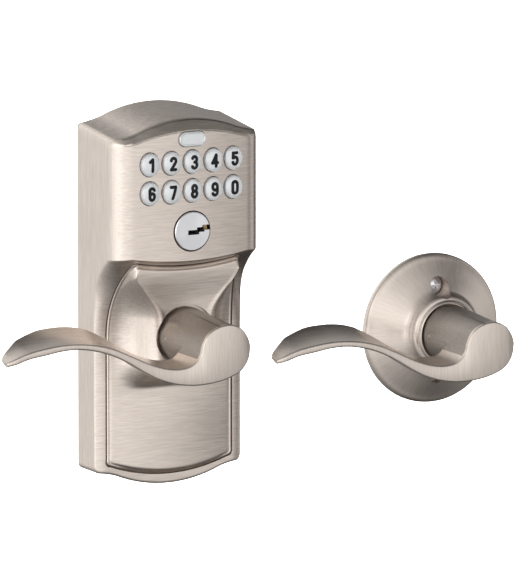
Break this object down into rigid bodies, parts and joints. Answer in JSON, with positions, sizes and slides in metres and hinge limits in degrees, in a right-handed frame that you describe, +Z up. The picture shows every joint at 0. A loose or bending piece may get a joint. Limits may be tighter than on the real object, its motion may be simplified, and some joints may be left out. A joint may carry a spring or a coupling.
{
  "type": "keypad entry lever lock",
  "caption": "Keypad escutcheon with wave-shaped lever and key cylinder, and the matching round interior rose and lever, on one door face.",
  "frame": {"origin": "exterior lever's axis at the door face, midway between the two through-bolt posts", "axes": "+Y into the door along the lever axis, +Z up, +X to the right; both halves face -Y"},
  "size_m": [0.2718, 0.108, 0.1624],
  "materials": {
    "nickel": "satin",
    "key_caps": "satin",
    "cylinder_face": "satin",
    "steel": "zinc plated",
    "spring_steel": "bright",
    "brass": "machined",
    "rubber": "matte",
    "circuit_board": "solder mask",
    "nylon": "moulded",
    "battery_case": "printed sleeve, plain"
  },
  "bodies": {
    "lock": {"exterior_housing": "nickel", "interior_rose": "nickel", "mounting_screws": "cylinder_face", "exterior_plate": "steel", "through_bolt_posts": "steel", "housing_screws": "steel", "clutch_chassis": "steel", "exterior_spring_cage": "steel", "interior_plate": "steel", "interior_spring_cage": "steel", "clutch_motor": "steel", "pin_springs": "spring_steel", "exterior_return_spring": "spring_steel", "interior_return_spring": "spring_steel", "cylinder_body": "brass", "driver_pins": "brass", "exterior_gasket": "rubber", "keypad_membrane": "rubber", "keypad_board": "circuit_board", "control_board": "circuit_board", "exterior_bushing": "nylon", "interior_bushing": "nylon", "battery_tray": "nylon", "battery": "battery_case"},
    "exterior_lever": {"exterior_lever": "nickel", "exterior_tube": "steel", "exterior_retaining_ring": "steel", "exterior_lever_catch": "steel"},
    "interior_lever": {"interior_lever": "nickel", "interior_tube": "steel", "interior_spindle_socket": "steel", "interior_lever_catch": "steel"},
    "spindle": {"exterior_spindle": "steel"},
    "plug": {"cylinder_plug": "cylinder_face", "bottom_pins": "brass", "plug_clip": "steel", "tailpiece": "steel"},
    "program_button": {"program_button": "key_caps"},
    "clutch_pinion": {"clutch_pinion": "nylon"},
    "clutch_slider": {"clutch_slider": "nylon"},
    "clutch_pin": {"clutch_pin": "brass"},
    "key_1": {"key_1": "key_caps"},
    "key_2": {"key_2": "key_caps"},
    "key_3": {"key_3": "key_caps"},
    "key_4": {"key_4": "key_caps"},
    "key_5": {"key_5": "key_caps"},
    "key_6": {"key_6": "key_caps"},
    "key_7": {"key_7": "key_caps"},
    "key_8": {"key_8": "key_caps"},
    "key_9": {"key_9": "key_caps"},
    "key_0": {"key_0": "key_caps"}
  },
  "joints": [
    {"name": "key_1_press", "type": "slide", "parent": "lock", "child": "key_1", "axis": [0, 1, 0], "range_m": [0, 0.001], "stiffness_N_per_m": 900, "springref_m": -0.0006},
    {"name": "key_2_press", "type": "slide", "parent": "lock", "child": "key_2", "axis": [0, 1, 0], "range_m": [0, 0.001], "stiffness_N_per_m": 900, "springref_m": -0.0006},
    {"name": "key_3_press", "type": "slide", "parent": "lock", "child": "key_3", "axis": [0, 1, 0], "range_m": [0, 0.001], "stiffness_N_per_m": 900, "springref_m": -0.0006},
    {"name": "key_4_press", "type": "slide", "parent": "lock", "child": "key_4", "axis": [0, 1, 0], "range_m": [0, 0.001], "stiffness_N_per_m": 900, "springref_m": -0.0006},
    {"name": "key_5_press", "type": "slide", "parent": "lock", "child": "key_5", "axis": [0, 1, 0], "range_m": [0, 0.001], "stiffness_N_per_m": 900, "springref_m": -0.0006},
    {"name": "key_6_press", "type": "slide", "parent": "lock", "child": "key_6", "axis": [0, 1, 0], "range_m": [0, 0.001], "stiffness_N_per_m": 900, "springref_m": -0.0006},
    {"name": "key_7_press", "type": "slide", "parent": "lock", "child": "key_7", "axis": [0, 1, 0], "range_m": [0, 0.001], "stiffness_N_per_m": 900, "springref_m": -0.0006},
    {"name": "key_8_press", "type": "slide", "parent": "lock", "child": "key_8", "axis": [0, 1, 0], "range_m": [0, 0.001], "stiffness_N_per_m": 900, "springref_m": -0.0006},
    {"name": "key_9_press", "type": "slide", "parent": "lock", "child": "key_9", "axis": [0, 1, 0], "range_m": [0, 0.001], "stiffness_N_per_m": 900, "springref_m": -0.0006},
    {"name": "key_0_press", "type": "slide", "parent": "lock", "child": "key_0", "axis": [0, 1, 0], "range_m": [0, 0.001], "stiffness_N_per_m": 900, "springref_m": -0.0006},
    {"name": "program_press", "type": "slide", "parent": "lock", "child": "program_button", "axis": [0, 1, 0], "range_m": [0, 0.0008], "stiffness_N_per_m": 900, "springref_m": -0.0006},
    {"name": "key_turn", "type": "hinge", "parent": "lock", "child": "plug", "pos_m": [0, 0, 0.0461], "axis": [0, 1, 0], "range_deg": [0, 90]},
    {"name": "exterior_lever_turn", "type": "hinge", "parent": "lock", "child": "exterior_lever", "pos_m": [0, 0, 0], "axis": [0, 1, 0], "range_deg": [-48, 48], "stiffness_Nm_per_rad": 0.6},
    {"name": "interior_lever_turn", "type": "hinge", "parent": "lock", "child": "interior_lever", "pos_m": [0.135, 0, -0.0124], "axis": [0, 1, 0], "range_deg": [-48, 48], "stiffness_Nm_per_rad": 0.6},
    {"name": "spindle_turn", "type": "hinge", "parent": "lock", "child": "spindle", "pos_m": [0, 0, 0], "axis": [0, 1, 0], "range_deg": [-48, 48], "stiffness_Nm_per_rad": 0.05},
    {"name": "clutch_slide", "type": "slide", "parent": "lock", "child": "clutch_slider", "axis": [0, 0, -1], "range_m": [0, 0.0025], "stiffness_N_per_m": 100, "springref_m": -0.003},
    {"name": "pinion_turn", "type": "hinge", "parent": "lock", "child": "clutch_pinion", "pos_m": [-0.0064, -0.008, 0.027], "axis": [1, 0, 0], "range_deg": [0, 36]},
    {"name": "clutch_pin_slide", "type": "slide", "parent": "exterior_lever", "child": "clutch_pin", "axis": [0, 0, -1], "range_m": [0, 0.0014]}
  ],
  "couplings": [
    {"joint": "pinion_turn", "follows": "clutch_slide", "rad_per_m": 250},
    {"joint": "clutch_pin_slide", "follows": "clutch_slide", "ratio": 0.52}
  ]
}
